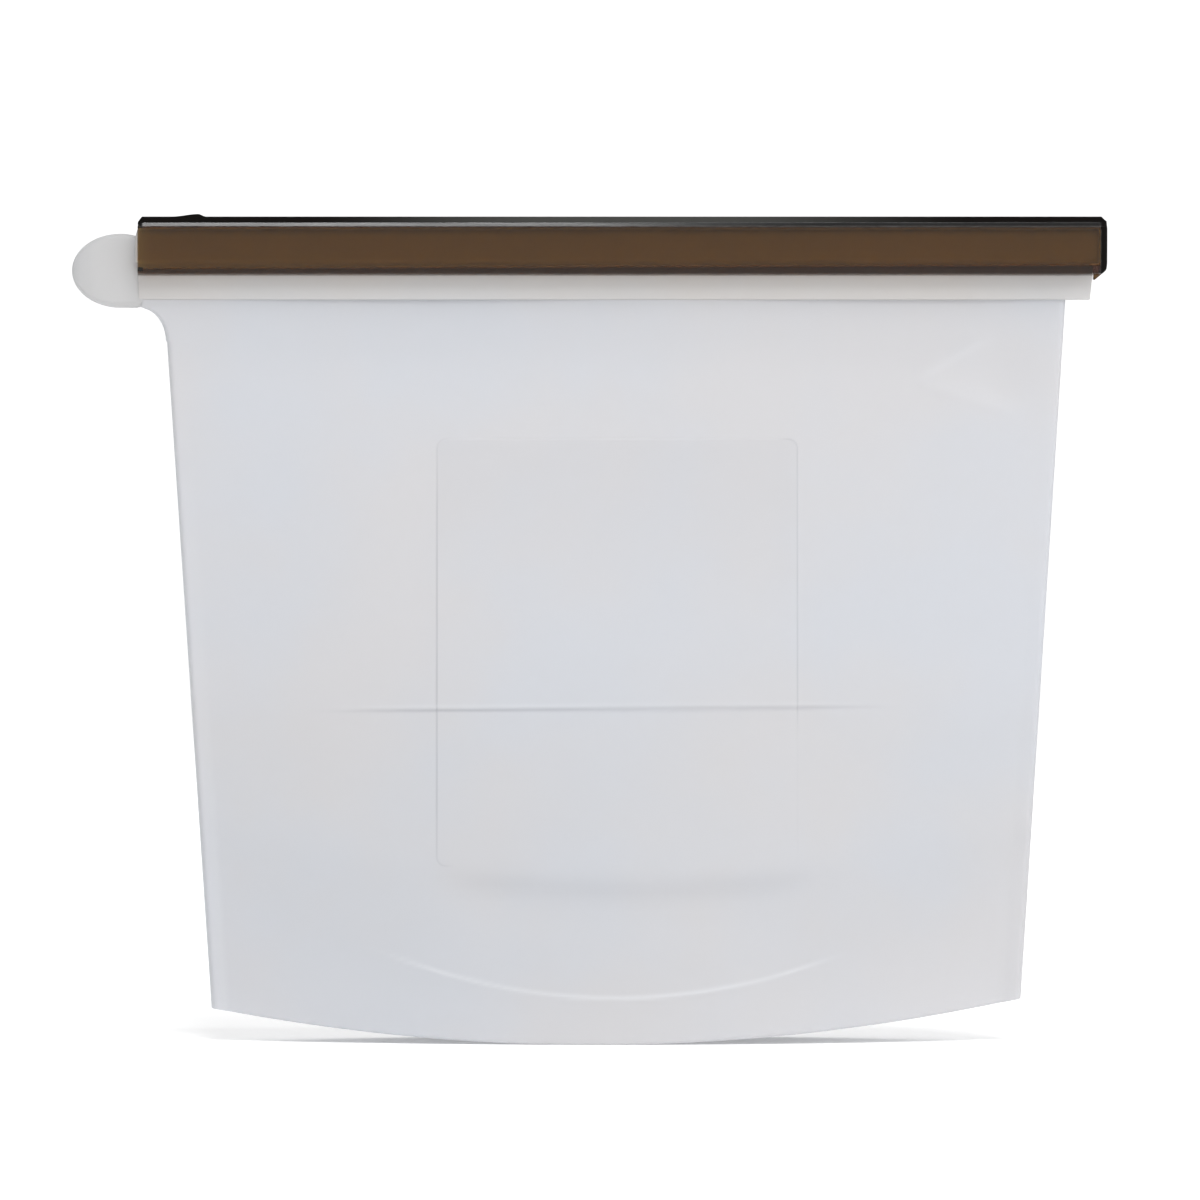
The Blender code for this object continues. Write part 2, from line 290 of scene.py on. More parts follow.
class Socket:
    """A value in a material's node tree, so that shader sums are written as plain expressions."""

    def __init__(self, tree, link=None):
        self.tree = tree
        self.link = link

    def node(self, kind, settings=(), inputs=(), output=0):
        """Adds a node. settings are set first, then inputs: values or Sockets, by name or place."""
        made = self.tree.nodes.new(kind)
        for name, value in dict(settings).items():
            setattr(made, name, value)
        for name, value in dict(inputs).items():
            if isinstance(value, Socket):
                self.tree.links.new(value.link, made.inputs[name])
            else:
                made.inputs[name].default_value = value
        return Socket(self.tree, made.outputs[output])

    def maths(self, operation, first, second):
        return self.node("ShaderNodeMath", {"operation": operation}, {0: first, 1: second})

    def __add__(self, other):
        return self.maths("ADD", self, other)

    def __sub__(self, other):
        return self.maths("SUBTRACT", self, other)

    def __rsub__(self, other):
        return self.maths("SUBTRACT", other, self)

    def __mul__(self, other):
        return self.maths("MULTIPLY", self, other)

    __radd__ = __add__
    __rmul__ = __mul__

    def smooth(self, low, high):
        """0 below low, 1 above high, and a smooth rise between."""
        settings = {"interpolation_type": "SMOOTHSTEP"}
        return self.node("ShaderNodeMapRange", settings, {"Value": self, "From Min": low, "From Max": high})

    def blend(self, first, second):
        """The colour first where this is 0, and second where it is 1."""
        settings = {"data_type": "RGBA"}
        return self.node("ShaderNodeMix", settings, {0: self, 6: first, 7: second}, output=2)


def new_material(name):
    """A material with nothing in its tree yet, and a Socket to build the tree from."""
    material = bpy.data.materials.new(name)
    material.use_nodes = True
    material.node_tree.nodes.clear()
    return material, Socket(material.node_tree)


def surface_to_output(material, surface, volume=None):
    output = material.node_tree.nodes.new("ShaderNodeOutputMaterial")
    material.node_tree.links.new(surface.link, output.inputs["Surface"])
    if volume is not None:
        material.node_tree.links.new(volume.link, output.inputs["Volume"])


def smoked_plastic():
    """Clear smoky plastic. Its darkness attribute is 1 where the plastic seen edge-on is painted dark as
    shade, 2 where it is painted nearly black, and there it is black at the bar's ends and a painted dull
    grey sheen at mid-length."""
    material, start = new_material("smoky_clear_plastic")
    place = start.node("ShaderNodeTexCoord", output=3)
    flow = start.node("ShaderNodeMapping", {}, {"Vector": place, "Scale": (60, 900, 900)})
    streaks = start.node("ShaderNodeTexNoise", {}, {"Vector": flow, "Scale": 1.0, "Detail": 3.0})
    painted_dark = start.node("ShaderNodeAttribute", {"attribute_name": "painted_dark"}, output=2)
    clear = start.node(
        "ShaderNodeBsdfPrincipled",
        {},
        {
            "Base Color": painted_dark.blend((0.94, 0.90, 0.84, 1), (0.03, 0.022, 0.015, 1)),
            "Roughness": streaks.smooth(0.3, 0.7) * 0.06 + painted_dark.smooth(0, 1) * 0.05 + 0.14,
            "IOR": 1.38,
            "Transmission Weight": 1.0,
        },
    )
    along = start.node("ShaderNodeSeparateXYZ", {}, {"Vector": place})
    # A painted dull grey sheen along the bar at mid-length, lifting the painted black
    mid_length_sheen = along.smooth(-50 * mm, -8 * mm) * (1 - along.smooth(19 * mm, 68 * mm))
    jet = streaks.blend((0.002, 0.0015, 0.001, 1), (0.004, 0.003, 0.0025, 1))
    black = start.node(
        "ShaderNodeBsdfPrincipled",
        {},
        {
            "Base Color": mid_length_sheen.blend(jet, (0.047, 0.047, 0.044, 1)),
            "Roughness": 0.35,
            "Specular IOR Level": 0.06,
        },
    )
    surface = start.node("ShaderNodeMixShader", {}, {0: painted_dark.smooth(1.0, 2.0) * 0.96, 1: clear, 2: black})
    volume = start.node("ShaderNodeVolumeAbsorption", {}, {"Color": (*smoke, 1), "Density": smoke_density})
    surface_to_output(material, surface, volume)
    return material


smoked = smoked_plastic()
bar = build_bar()
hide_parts("slide_bar", "bar_end_stop")
for piece in (bar, build_toe(), build_groove_shade()):
    piece.data.materials.append(smoked)
    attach(piece, "closure_bar")


# ---------------------------------------------------------------------------------------------
# Lips. Each wall ends in a bead that fills the bar, a neck through its slot, and a thicker band
# just under it. All of the bag is one moulding of milky silicone with a fine satin skin.
# ---------------------------------------------------------------------------------------------

front_lip_low, front_lip_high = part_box("front_lip")
clearance = 0.3 * mm
band_bottom = front_lip_low.z
band_top = bar_bottom - 0.1 * mm
band_half = 2.0 * mm
neck_half = slot_half - clearance
bead_half = bar_half - side_wall - clearance
bead_bottom = bar_bottom + closed_end_lip + clearance
bead_top = bar_top - roof - clearance
lips_apart = 0.12 * mm


def milky_silicone(name, grey, clear, lined=False):
    """Silicone of one grey. clear is the share of light that passes straight through."""
    material, start = new_material(name)
    place = start.node("ShaderNodeTexCoord", output=3)
    cloud = start.node("ShaderNodeTexNoise", {}, {"Vector": place, "Scale": 22.0, "Detail": 3.0})
    haze = cloud.smooth(0.35, 0.65)
    skin = start.node("ShaderNodeTexNoise", {}, {"Vector": place, "Scale": 1500.0, "Detail": 3.0})
    bump = start.node("ShaderNodeBump", {}, {"Strength": 0.10, "Distance": 0.08 * mm, "Height": skin})
    cool = tuple(c * f for c, f in zip(grey, (0.987, 1.0, 1.014)))
    warm = tuple(c * f for c, f in zip(grey, (1.015, 0.995, 0.975)))
    colour = haze.blend((*cool, 1), (*warm, 1))
    if lined:
        # The walls' attributes darken the colour with painted shade and a darker tone, and lighten it with
        # painted highlights
        shade_and_tone = start.node("ShaderNodeAttribute", {"attribute_name": "shade_and_tone"}, output=2)
        painted_highlight = start.node("ShaderNodeAttribute", {"attribute_name": "painted_highlight"}, output=2)
        colour = (shade_and_tone * 0.6).blend(colour, (0.34, 0.35, 0.38, 1))
        colour = (painted_highlight * 0.5).blend(colour, (0.86, 0.87, 0.89, 1))
    satin = start.node(
        "ShaderNodeBsdfPrincipled",
        {},
        {
            "Base Color": colour,
            "Roughness": haze * 0.08 + 0.42,
            "IOR": 1.41,
            "Specular IOR Level": 0.35,
            "Normal": bump,
        },
    )
    through = start.node("ShaderNodeBsdfTranslucent", {}, {"Color": (0.80, 0.82, 0.86, 1)})
    glassy = start.node("ShaderNodeBsdfTransparent", {}, {"Color": (0.90, 0.91, 0.94, 1)})
    milk = start.node("ShaderNodeMixShader", {}, {0: 0.3, 1: satin, 2: through})
    surface = start.node("ShaderNodeMixShader", {}, {0: clear, 1: milk, 2: glassy})
    surface_to_output(material, surface)
    return material


def lip_outline(side, inset, taper, slant):
    """The lip's section. inset rounds its ends, taper thins the band towards the pull tab."""
    band = band_half - inset - taper
    neck = neck_half - inset
    bead = bead_half - inset
    top = bead_top - inset - slant
    corners = [
        (lips_apart, band_bottom + inset, 0.1 * mm),
        (band, band_bottom + inset, 0.35 * mm),
        (band, band_top - inset, 0.3 * mm),
        (neck, band_top - inset, 0.2 * mm),
        (neck, bead_bottom + inset, 0.2 * mm),
        (bead, bead_bottom + inset, 0.9 * mm),
        (bead, top, 1.3 * mm),
        (lips_apart, top, 0.1 * mm),
    ]
    return [Vector((side * y, z)) for y, z in rounded(corners)]


def build_lip(name, side):
    """Sections along the lip. The band stops at its right end, and the bead goes on in the bar."""
    left, right = bar_low.x - 0.45 * mm, front_lip_high.x + 0.1 * mm
    bead_right = stop_high.x - end_wall - 0.25 * mm
    taper_length, run_start, run_end = 9 * mm, left + 10 * mm, right - 1.0 * mm
    stations = [(left, 0.2 * mm), (left + 0.08 * mm, 0.06 * mm)]
    stations += [(left + 0.25 * mm, 0.0), (left + 0.8 * mm, 0.0)]
    stations += [(left + (1.5 + 1.5 * k) * mm, 0.0) for k in range(6)]
    stations += [(run_start + (run_end - run_start) * k / 24, 0.0) for k in range(25)]
    stations += [(right - 0.15 * mm, 0.0), (right, 0.03 * mm), (right + 0.02 * mm, 0.03 * mm)]
    stations += [(bead_right - 0.2 * mm, 0.0), (bead_right - 0.06 * mm, 0.06 * mm), (bead_right, 0.2 * mm)]
    mesh = bmesh.new()
    rings = []
    for x, inset in stations:
        taper = 0.35 * mm * (1 - rising(left, left + taper_length, x)) ** 2
        slant = 0.9 * mm * max(0.0, 1 - (x - left) / (0.3 * mm))
        lean_share = 0.1 * max(0.0, 1 - (right - x) / (2 * mm))
        ring = []
        for y, z in lip_outline(side, inset, taper, slant):
            lean = min(0.0, lean_share * (z - band_top))
            if x > right and z < bead_bottom:
                # Past the band's end, the band and the neck close up under the bead
                y = side * min(abs(y), neck_half)
                z = bead_bottom - 0.02 * (bead_bottom - z)
                lean = 0.0
            ring.append(mesh.verts.new((x + lean, y, z)))
        rings.append(ring)
    for near, far in zip(rings, rings[1:]):
        skin_between(mesh, near, far)
    mesh.faces.new(rings[0])
    mesh.faces.new(rings[-1])
    return finish_mesh(name, mesh)


# The lips' silicone is painted a little warm, a painted reflection of the brown bar above
thick_silicone = milky_silicone("thick_silicone", (0.65, 0.636, 0.626), 0.04)
for word, side in (("front", -1), ("back", 1)):
    lip = build_lip(word + "_lip_bead", side)
    lip.data.materials.append(thick_silicone)
    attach(lip, "bag")
    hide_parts(word + "_lip")


# ---------------------------------------------------------------------------------------------
# Pull tab. A thick tongue of the same silicone beside the bar's open end, to hold while the bar
# is slid off. It runs in under the bar as part of the band.
# ---------------------------------------------------------------------------------------------

tab_low, tab_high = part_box("pull_tab")
tab_middle_z = (tab_low.z + tab_high.z) / 2
tab_half_height = (tab_high.z - tab_low.z) / 2
tab_half_thickness = (tab_high.y - tab_low.y) / 2
tab_nose = 8.5 * mm
tab_top_dip = 0.45 * mm


def tab_section(x, low, high, half):
    """A rounded slab standing between two heights."""
    edge = min(1.2 * mm, 0.95 * half, 0.48 * (high - low))
    corners = [(-half, low, edge), (half, low, edge), (half, high, edge), (-half, high, edge)]
    return [Vector((x, y, z)) for y, z in rounded(corners, steps=7)]


def build_tab():
    """The round nose, the straight tongue, and a root that thins out between the lips."""
    mesh = bmesh.new()
    sections = []
    nose_centre = tab_low.x + tab_nose
    for k in range(1, 17):
        turn = math.pi / 2 * k / 16
        x = nose_centre - tab_nose * math.cos(turn)
        high = tab_half_height * math.sin(turn)
        half = tab_half_thickness * min(1.0, math.sin(turn) ** 0.8 * 1.15)
        sections.append(tab_section(x, tab_middle_z - high, tab_middle_z + high, half))
    tongue_end = bar_low.x - 0.25 * mm
    for k in range(1, 7):
        share = k / 6
        x = nose_centre + (tongue_end - nose_centre) * share
        high = tab_high.z - tab_top_dip * share * share
        sections.append(tab_section(x, tab_low.z, high, tab_half_thickness))
    for x, half in ((-0.05, 1.7), (1.0, 1.6), (2.2, 1.5), (3.6, 1.3), (4.6, 1.1)):
        low, high = tab_low.z + 0.1 * mm, band_top - 0.15 * mm
        sections.append(tab_section(bar_low.x + x * mm, low, high, half * mm))
    rings = [[mesh.verts.new(p) for p in section] for section in sections]
    for near, far in zip(rings, rings[1:]):
        skin_between(mesh, near, far)
    tip = mesh.verts.new((tab_low.x, 0, tab_middle_z))
    for i in range(len(rings[0])):
        mesh.faces.new((rings[0][i], rings[0][(i + 1) % len(rings[0])], tip))
    mesh.faces.new(rings[-1])
    return finish_mesh("pull_tab_tongue", mesh, sharp=60)


tab = build_tab()
tab.data.materials.append(milky_silicone("tab_silicone", (0.525, 0.525, 0.525), 0.03))
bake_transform(tab)
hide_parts("pull_tab")


# ---------------------------------------------------------------------------------------------
# Walls. Front and back are sheets 1 mm thick, fused along the sides, and fused to the gusset
# below a round arc. The front has a smooth panel to write on, a curved step where the silicone
# is doubled, and a small dent with two creases.
# ---------------------------------------------------------------------------------------------

foot_low, foot_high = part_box("front_foot")
right_seam_low, right_seam_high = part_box("right_seam")
wall = 1.0 * mm
seam_width = 3.0 * mm
middle_x = (foot_low.x + foot_high.x) / 2
mouth_z = band_bottom
corner_z = 7.0 * mm
top_half = right_seam_high.x - middle_x
bottom_half = right_seam_low.x + seam_width - middle_x
right_side_swell = 0.35 * mm
lowest_x, bottom_reach, bottom_rise = 0.2 * mm, 75.2 * mm, 7.4 * mm
tab_underside = tab_low.z
fillet_high, fillet_wide = 6.0 * mm, 4.7 * mm
mouth_half_depth = 1.5 * mm
seam_half_depth = right_seam_high.y
standing_half_depth = -foot_low.y
least_depth = 0.03 * mm
arc_low, arc_radius = 8.0 * mm, 109.0 * mm
fold_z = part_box("gusset_front")[1].z
panel_left, panel_right = middle_x - 31.1 * mm, middle_x + 31.9 * mm
panel_bottom, panel_top = 31.0 * mm, 105.5 * mm
panel_corner = 1.6 * mm
dent_tip = (57.6 * mm, 115.9 * mm)
dent_upper = (69.3 * mm, 122.9 * mm)
dent_lower = (74.6 * mm, 110.3 * mm)


def graded(low, high, step, marks):
    """Places from low to high, a step apart, closing up to a mark's own step within its reach."""
    places = [low]
    while places[-1] < high - 1e-7:
        here = places[-1]
        gap = step
        for centre, reach, fine in marks:
            outside = max(0.0, abs(here - centre) - reach)
            gap = min(gap, fine + 0.3 * outside)
        places.append(min(high, here + gap))
    return places


def half_width(z):
    share = (z - corner_z) / (mouth_z - corner_z)
    return bottom_half + (top_half - bottom_half) * share


def left_edge(z):
    """The left side, with the hollow curve that turns it out under the pull tab."""
    edge = middle_x - half_width(z)
    rise = rising(tab_underside - fillet_high, tab_underside, z)
    flare = bar_low.x + fillet_wide * np.sqrt(1 - rise * rise)
    return np.where(rise > 0, np.minimum(edge, flare), edge)


def right_edge(z):
    return middle_x + half_width(z) + right_side_swell * (1 - z / mouth_z)


def bottom_edge(x):
    """The bottom hangs in a shallow curve that is lowest a little left of the middle."""
    return bottom_rise * ((x - lowest_x) / bottom_reach) ** 2


def bell(distance, width):
    """1 on a line, and fading away on both sides of it."""
    return np.exp(-((distance / width) ** 2))


def arc_distance(x, z):
    """How far a point lies above the arc that the gusset is fused along."""
    return arc_radius - np.hypot(x - middle_x, z - arc_low - arc_radius)


def arc_line(x, z):
    """1 on the arc, fading out towards both sides."""
    near_middle = 1 - ease(30 * mm, 43 * mm, np.abs(x - middle_x + 1 * mm))
    return near_middle * bell(arc_distance(x, z), 0.34 * mm)


def fold_height(x):
    """The gusset's fold climbs a little to the right."""
    return fold_z + (x - middle_x) * 0.0075


def outer_depth(x, z):
    """From the middle plane to a wall's outer face, before its fine relief."""
    panel_half = half_width(z) - seam_width
    lens = np.clip(1 - ((x - middle_x) / panel_half) ** 2, 0, 1)
    belly = np.clip((mouth_z - z) / mouth_z, 0, 1) ** 1.2
    layers = ease(mouth_z, fold_z, z)
    seam = mouth_half_depth + (seam_half_depth - mouth_half_depth) * layers
    return seam + (standing_half_depth - seam_half_depth) * lens * belly


def inside_panel(x, z):
    """The signed distance into the write-on panel, a rectangle with small round corners."""
    across = np.abs(x - (panel_left + panel_right) / 2) - (panel_right - panel_left) / 2 + panel_corner
    up = np.abs(z - (panel_bottom + panel_top) / 2) - (panel_top - panel_bottom) / 2 + panel_corner
    outside = np.hypot(np.maximum(across, 0), np.maximum(up, 0))
    return panel_corner - outside - np.minimum(np.maximum(across, up), 0)


def crease(x, z, start, end, height, width):
    """A soft ridge along a line between two points, fading at its ends."""
    a, b = np.array(start), np.array(end)
    along = b - a
    share = ((x - a[0]) * along[0] + (z - a[1]) * along[1]) / (along @ along)
    off = np.hypot(x - a[0] - share * along[0], z - a[1] - share * along[1])
    fade = ease(-0.1, 0.15, share) * (1 - ease(0.85, 1.1, share))
    return height * fade * bell(off, width)


def brow(x, z):
    """Where a point lies on the curved step above the gusset's seal: along it, and above it."""
    sideways = (x - 7 * mm) / (30 * mm)
    return sideways, z - 26.9 * mm - 1.8 * mm * sideways**2


def seal_and_fold(x, z):
    """What both walls show: a fine bead along the gusset's arc and a groove where its fold lies."""
    bead = 0.16 * mm * arc_line(x, z)
    fold_reach = 1 - ease(36 * mm, 52 * mm, np.abs(x - middle_x))
    return bead - 0.10 * mm * fold_reach * bell(z - fold_height(x), 0.30 * mm)


def front_relief(x, z):
    """The front's own shape: panel, dent with two creases, slow swell, and step above the seal."""
    foot_fade = ease(0, 12 * mm, z - panel_bottom - 1 * mm)
    corner_fade = 1 - ease(-12 * mm, -2 * mm, x - panel_right) * (1 - ease(48 * mm, 60 * mm, z))
    panel = 0.10 * mm * ease(-0.14 * mm, 0.14 * mm, inside_panel(x, z)) * foot_fade * corner_fade
    swell = 0.25 * mm * np.sin(x * 71 + 0.6) * np.sin(z * 52 + 0.4)
    upper_crease = crease(x, z, dent_tip, dent_upper, 0.28 * mm, 1.3 * mm)
    lower_crease = crease(x, z, dent_tip, dent_lower, 0.20 * mm, 1.3 * mm)
    hollow = -0.45 * mm * bell(x - 73 * mm, 6 * mm) * bell(z - 115 * mm, 5 * mm)
    sideways, above = brow(x, z)
    strength = 0.18 + 0.82 * (1 - ease(0.65, 1.3, np.abs(sideways)))
    below_brow = (1 - ease(-2.6 * mm, 2.2 * mm, above)) * ease(6 * mm, 22 * mm, z)
    step = -0.8 * mm * strength * below_brow
    return seal_and_fold(x, z) + panel + upper_crease + lower_crease + hollow + swell + step


def back_relief(x, z):
    swell = 0.25 * mm * np.sin(x * 64 + 2.1) * np.sin(z * 47 + 1.3)
    return seal_and_fold(x, z) + swell


def fold_line(x, z):
    """The gusset's fold shows through as a dark line of painted shade, softest right of the middle."""
    reach = 1 - ease(28 * mm, 54 * mm, np.abs(x - middle_x + 2 * mm))
    blur = 0.28 * mm + 0.24 * mm * bell(x - 18 * mm, 20 * mm)
    return 0.22 * mm / blur * reach * bell(z - fold_height(x), blur)


def step_and_bar_shade(x, z):
    """Painted shade at the curved step above the seal and under it, and the bar's painted shadow next to
    the lip.
    """
    sideways, above = brow(x, z)
    step = 0.16 * bell(above, 2.5 * mm) * (1 - ease(0.75, 1.25, np.abs(sideways)))
    wide_arc = 28 * mm + 9 * mm * ((x - middle_x) / (70 * mm)) ** 2
    under = 0.05 * (1 - ease(-4 * mm, 4 * mm, z - wide_arc)) * ease(0.6, 1.4, np.abs(sideways))
    return step + under + 0.2 * np.exp((z - mouth_z) / (6 * mm))


def front_shade_and_tone(x, z):
    """How dark each point is painted: painted shade in the panel outline's groove, a darker tone at the top
    of the panel, the gusset's fold as a painted shadow line, and the painted shade of the step and of the
    bar.
    """
    into = inside_panel(x, z)
    left = (1 - ease(-2 * mm, 0, x - panel_left - 3 * mm)) * (0.55 - 0.40 * ease(90 * mm, 100 * mm, z))
    right = 0.6 * ease(-3 * mm, 0, x - panel_right + 1 * mm) * ease(54 * mm, 60 * mm, z)
    faint = 0.10 * ease(0, 4 * mm, z - panel_bottom)
    outline = bell(into, 0.12 * mm) * np.clip(left + right + faint, 0, 1)
    upper = 0.11 * ease(0, 0.4 * mm, into) * ease(72 * mm, 104 * mm, z)
    return np.clip(outline + upper + fold_line(x, z) + step_and_bar_shade(x, z), 0, 1)


def front_highlights(x, z):
    """Painted highlights on lines that catch the light: the gusset's seal, the fold, and the small dent's
    creases.
    """
    upper_crease = crease(x, z, dent_tip, dent_upper, 0.22, 0.7 * mm)
    lower_crease = crease(x, z, dent_tip, dent_lower, 0.14, 0.7 * mm)
    lit_lines = arc_line(x, z - 0.2 * mm) + 0.5 * fold_line(x, z - 0.8 * mm)
    return np.clip(lit_lines + upper_crease + lower_crease, 0, 1)


def wall_grid(column_marks, row_marks):
    """Where a wall's mesh lines run: their x and z, as arrays with a row for each height."""
    step, fan, fan_steps = 1.7 * mm, 44 * mm, 22
    middle = np.array(graded(middle_x - fan, middle_x + fan, step, column_marks))
    ramp = np.arange(1, fan_steps) / fan_steps
    from_side = np.array([0.0, 0.05, 0.16, 0.35, 0.6, 0.9, 1.4, 2.0, 2.5, 3.0, 3.6]) * mm

    # A row is a height, and how much of the bottom's curve it follows: all of it low down, then less
    rim, level = 0.5 * mm, 8.2 * mm
    rows = [(height * mm, 1.0) for height in (0.0, 0.05, 0.15, 0.3, 0.5)]
    rows += [(rim + (level - rim) * k / 11, 1 - k / 11) for k in range(1, 12)]
    rows += [(height, 0.0) for height in graded(level, mouth_z, step, row_marks)[1:]]
    xs, zs = [], []
    for height, follow in rows:
        left, right = middle_x - bottom_half, middle_x + bottom_half
        for _ in range(3):
            left = left_edge(height + follow * bottom_edge(left))
            right = right_edge(height + follow * bottom_edge(right))
        near_left, near_right = left + from_side, right - from_side[::-1]
        fan_left = near_left[-1] + (middle[0] - near_left[-1]) * ramp
        fan_right = middle[-1] + (near_right[0] - middle[-1]) * ramp
        x = np.concatenate([near_left, fan_left, middle, fan_right, near_right])
        xs.append(x)
        zs.append(height + follow * bottom_edge(x))
    return np.array(xs), np.array(zs)


def wall_skins(x, z, relief):
    """The outer and inner depths over the grid, with rounded side and bottom edges."""
    side_round, bottom_round, side_depth = 0.9 * mm, 0.5 * mm, 0.06 * mm
    from_side = np.minimum(x - x[:, :1], x[:, -1:] - x)
    turn = np.clip(1 - from_side / side_round, 0, 1)
    depth = outer_depth(x, z) + relief(x, z)
    depth = side_depth + (depth - side_depth) * np.sqrt(np.clip(1 - turn**2, 0, 1))
    under = np.clip(1 - (z - z[:1, :]) / bottom_round, 0, 1)
    tuck = bottom_round * (1 - np.sqrt(np.clip(1 - under**2, 0, 1)))
    fused = 1 - ease(-0.4 * mm, 0.8 * mm, arc_distance(x, z))
    thickness = wall * (1 + fused)
    opened = ease(2.0 * mm, 3.4 * mm, from_side)
    inner = least_depth + (np.maximum(depth - thickness, least_depth) - least_depth) * opened
    return depth - tuck * opened, inner + tuck * opened


def build_sheet(name, outer, inner, turned, sharp):
    """A closed sheet between two grids of points, joined round their rims. turned flips its faces."""
    rows, columns = outer.shape[:2]
    index = np.arange(rows * columns).reshape(rows, columns)
    quads = np.stack([index[:-1, :-1], index[:-1, 1:], index[1:, 1:], index[1:, :-1]], axis=2)
    quads = quads.reshape(-1, 4)
    rim = np.concatenate([index[0, :], index[1:, -1], index[-1, -2::-1], index[-2:0:-1, 0]])
    ahead = np.roll(rim, -1)
    inner_from = rows * columns
    edge = np.stack([rim, rim + inner_from, ahead + inner_from, ahead], axis=1)
    faces = np.concatenate([quads, quads[:, ::-1] + inner_from, edge])
    if turned:
        faces = faces[:, ::-1]
    points = np.concatenate([outer.reshape(-1, 3), inner.reshape(-1, 3)])
    data = bpy.data.meshes.new(name)
    data.from_pydata(points.tolist(), [], faces.tolist())
    data.shade_smooth()
    data.set_sharp_from_angle(angle=math.radians(sharp))
    return new_object(name, data)


def build_wall(name, side, relief, drawn_lines, column_marks, row_marks):
    """drawn_lines holds two functions, for the painted shade and darker tone, and for the painted
    highlights.
    """
    x, z = wall_grid(column_marks, row_marks)
    outer, inner = wall_skins(x, z, relief)
    outer_points, inner_points = (np.stack([x, side * depth, z], axis=2) for depth in (outer, inner))
    sheet = build_sheet(name, outer_points, inner_points, turned=side > 0, sharp=60)
    for word, line in zip(("shade_and_tone", "painted_highlight"), drawn_lines):
        drawn = sheet.data.attributes.new(word, "FLOAT", "POINT")
        drawn.data.foreach_set("value", np.tile(line(x, z).ravel(), 2).astype(np.float32))
    return sheet


def hold_at_seams(piece, hinge_share):
    """Works out how far each point of a sheet would follow its panel, not at the seams and fully in the
    middle; the shares are not kept.
    """
    points = np.array([v.co for v in piece.data.vertices])
    reach = half_width(points[:, 2]) - seam_width
    share = ease(0, 1, 1 - np.abs(points[:, 0] - middle_x) / reach) * hinge_share(points)


# Marks are (place, reach, step): where the mesh closes up for a fine line
panel_columns = [(place, 0.3 * mm, 0.14 * mm) for place in (panel_left, panel_right)]
panel_rows = [(place, 0.3 * mm, 0.14 * mm) for place in (panel_bottom, panel_top)]
arc_rows = (12 * mm, 5.5 * mm, 0.32 * mm)
fold_rows = (fold_z, 0.9 * mm, 0.16 * mm)
crease_rows = (117 * mm, 7 * mm, 0.6 * mm)
fillet_rows = (126 * mm, 4.0 * mm, 0.35 * mm)
both_walls_rows = [arc_rows, fold_rows, fillet_rows]
front_rows = both_walls_rows + [crease_rows] + panel_rows
walls = {
    "front": (-1, front_relief, (front_shade_and_tone, front_highlights), panel_columns, front_rows),
    "back": (1, back_relief, (fold_line, arc_line), [], both_walls_rows),
}
thin_silicone = milky_silicone("thin_silicone", (0.662, 0.667, 0.688), 0.08, lined=True)
for word, (side, relief, drawn_lines, column_marks, row_marks) in walls.items():
    sheet = build_wall(word + "_wall_sheet", side, relief, drawn_lines, column_marks, row_marks)
    sheet.data.materials.append(thin_silicone)
    word + "_panel"
    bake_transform(sheet)
    hold_at_seams(sheet, lambda points: 1.0)
    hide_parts(word + "_wall", word + "_foot", ("left" if side < 0 else "right") + "_seam")


# ---------------------------------------------------------------------------------------------
# Gusset. One sheet, 0.8 mm thick, folded up between the walls so that the base can open. Each
# half hangs from the fold, is fused into the side seams, and joins its wall along the arc.
# ---------------------------------------------------------------------------------------------

leaf = 0.8 * mm
fold_half = 0.65 * mm
seam_overlap = 1.4 * mm
arc_overlap = 1.2 * mm


def arc_height(x):
    return arc_low + arc_radius - np.sqrt(arc_radius**2 - (x - middle_x) ** 2)


def build_leaf(name, side):
    """Half of the round fold, then rows down to the arc, drawn at the middle of the thickness."""
    across = np.linspace(-1, 1, 81)
    crown = fold_z - leaf / 2 - fold_half
    side_gap = seam_width - seam_overlap
    crown_x = middle_x + across * (half_width(crown) - side_gap)
    xs, ys, zs = [], [], []
    for angle in np.linspace(0, math.pi / 2, 7)[:-1]:
        xs.append(crown_x)
        ys.append(np.full_like(crown_x, fold_half * math.sin(angle)))
        zs.append(np.full_like(crown_x, crown + fold_half * math.cos(angle)))
    for share in np.linspace(0, 1, 29):
        x = crown_x
        for _ in range(3):
            low = arc_height(x) - arc_overlap
            z = crown + (low - crown) * share
            x = middle_x + across * (half_width(z) - side_gap)
        foot = np.maximum(outer_depth(x, low) - 2 * wall + leaf / 2, leaf / 2 + 0.1 * mm)
        xs.append(x)
        ys.append(fold_half + (foot - fold_half) * (0.75 * share + 0.25 * share * share))
        zs.append(z)
    x, y, z = np.array(xs), np.array(ys), np.array(zs)
    along_y, along_z = np.gradient(y, axis=0), np.gradient(z, axis=0)
    length = np.hypot(along_y, along_z)
    out_y, out_z = -along_z / length, along_y / length
    skins = []
    for offset in (leaf / 2, -leaf / 2):
        depth = np.maximum(y + out_y * offset, 0.0)
        skins.append(np.stack([x, side * depth, z + out_z * offset], axis=2))
    return build_sheet(name, *skins, turned=side < 0, sharp=50)


def leaf_share(points):
    """How far a leaf would follow its wall: not at its fold, fully at the arc."""
    return ease(0, 1, (fold_z - points[:, 2]) / (fold_z - arc_height(points[:, 0])))


for word, side in (("front", -1), ("back", 1)):
    leaf_sheet = build_leaf("gusset_" + word + "_leaf", side)
    leaf_sheet.data.materials.append(thin_silicone)
    word + "_panel"
    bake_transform(leaf_sheet)
    hold_at_seams(leaf_sheet, leaf_share)
    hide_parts("gusset_" + word)


# ---------------------------------------------------------------------------------------------
# Stage. A wide floor of pale paper that curves up at its rim, soft lamps round the bag, and a
# camera with a long lens straight in front. None of it is part of the bag.
# ---------------------------------------------------------------------------------------------


